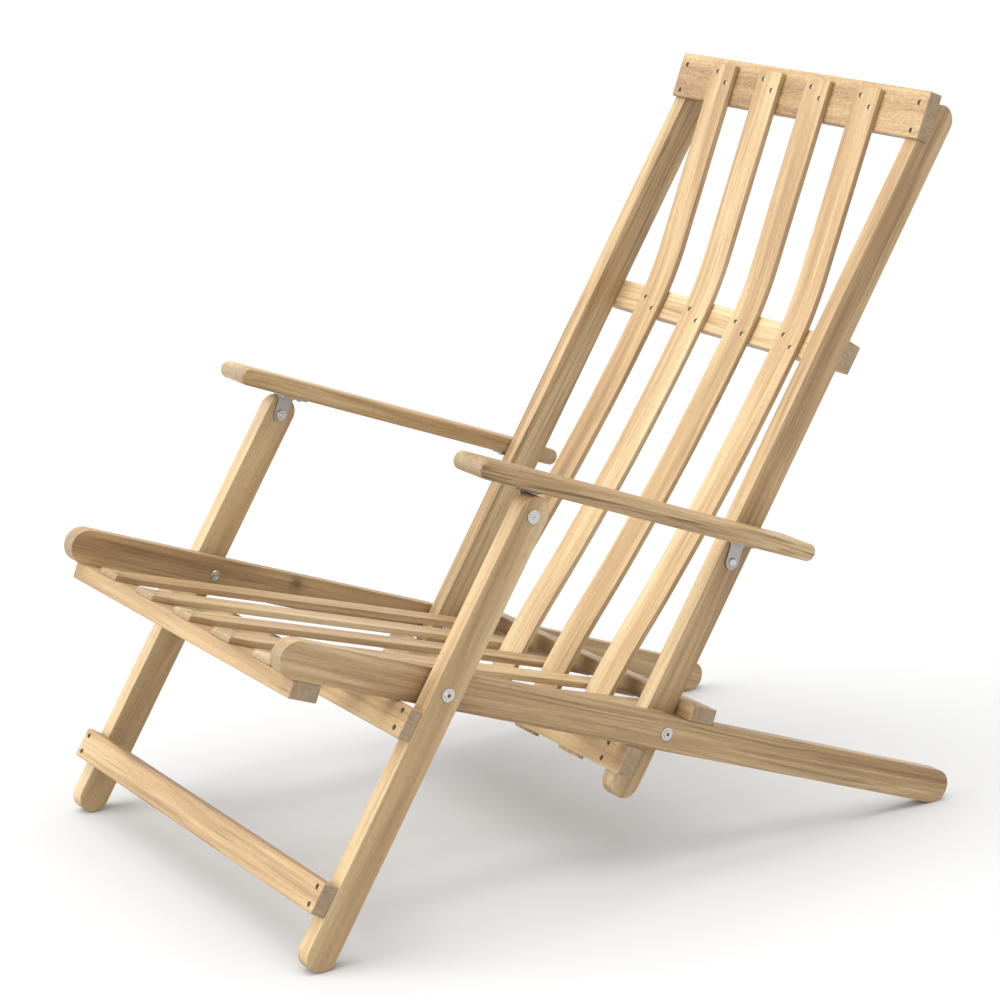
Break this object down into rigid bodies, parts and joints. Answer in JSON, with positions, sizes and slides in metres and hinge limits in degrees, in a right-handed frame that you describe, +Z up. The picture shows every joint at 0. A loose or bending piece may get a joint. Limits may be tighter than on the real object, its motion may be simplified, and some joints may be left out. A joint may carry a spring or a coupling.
{
  "type": "folding deck chair",
  "caption": "Slatted deck chair of flat teak boards: back, legs and slender armrests turn together on pivots, so that it folds flat on to its own seat",
  "frame": {"origin": "on the floor, under the middle of the open chair's bounding box", "axes": "+Z up; -Y is the way the sitter faces; +X is the sitter's left, so the seat rails run along Y"},
  "size_m": [0.626, 1.014, 0.9464],
  "materials": {
    "teak": "satin",
    "slat_teak": "satin",
    "stainless": "satin",
    "spacer": "matte"
  },
  "bodies": {
    "seat_frame": {"left_seat_rail": "teak", "right_seat_rail": "teak", "seat_front_bar": "teak", "seat_rear_bar": "teak", "seat_slat_1": "slat_teak", "seat_slat_2": "slat_teak", "seat_slat_3": "slat_teak", "seat_slat_4": "slat_teak", "seat_slat_5": "slat_teak", "seat_front_bar_screws": "stainless", "seat_rear_bar_screws": "stainless", "seat_slat_front_screws": "stainless", "seat_slat_rear_screws": "stainless", "leg_bolts": "stainless", "leg_nuts": "stainless", "leg_spacers": "spacer", "back_bolts": "stainless", "back_nuts": "stainless", "back_spacers": "spacer"},
    "leg_frame": {"left_leg": "teak", "right_leg": "teak", "lower_leg_bar": "teak", "upper_leg_bar": "teak", "lower_leg_bar_screws": "stainless", "upper_leg_bar_screws": "stainless"},
    "back_frame": {"left_back_rail": "teak", "right_back_rail": "teak", "back_top_bar": "teak", "back_mid_bar": "teak", "back_bottom_bar": "teak", "back_slat_1": "slat_teak", "back_slat_2": "slat_teak", "back_slat_3": "slat_teak", "back_slat_4": "slat_teak", "back_top_bar_screws": "stainless", "back_mid_bar_screws": "stainless", "back_bottom_bar_screws": "stainless", "back_slat_top_screws": "stainless", "back_slat_mid_screws": "stainless", "back_slat_bottom_screws": "stainless"},
    "left_arm": {"left_armrest": "teak", "left_arm_front_bracket": "stainless", "left_arm_rear_bracket": "stainless", "left_arm_screws": "stainless", "left_arm_front_bolt": "stainless", "left_arm_rear_bolt": "stainless", "left_arm_nuts": "stainless"},
    "right_arm": {"right_armrest": "teak", "right_arm_front_bracket": "stainless", "right_arm_rear_bracket": "stainless", "right_arm_screws": "stainless", "right_arm_front_bolt": "stainless", "right_arm_rear_bolt": "stainless", "right_arm_nuts": "stainless"}
  },
  "joints": [
    {"name": "back_fold", "type": "hinge", "parent": "seat_frame", "child": "back_frame", "pos_m": [0, 0.03566, 0.18355], "axis": [1, 0, 0], "range_deg": [0, 98]},
    {"name": "leg_fold", "type": "hinge", "parent": "seat_frame", "child": "leg_frame", "pos_m": [0, -0.30306, 0.3055], "axis": [1, 0, 0], "range_deg": [0, 98]},
    {"name": "left_arm_swing", "type": "hinge", "parent": "leg_frame", "child": "left_arm", "pos_m": [0, -0.18648, 0.50145], "axis": [1, 0, 0], "range_deg": [-98, 0]},
    {"name": "right_arm_swing", "type": "hinge", "parent": "leg_frame", "child": "right_arm", "pos_m": [0, -0.18648, 0.50145], "axis": [1, 0, 0], "range_deg": [-98, 0]}
  ],
  "couplings": [
    {"joint": "leg_fold", "follows": "back_fold", "ratio": 1},
    {"joint": "left_arm_swing", "follows": "back_fold", "ratio": -1},
    {"joint": "right_arm_swing", "follows": "back_fold", "ratio": -1}
  ]
}
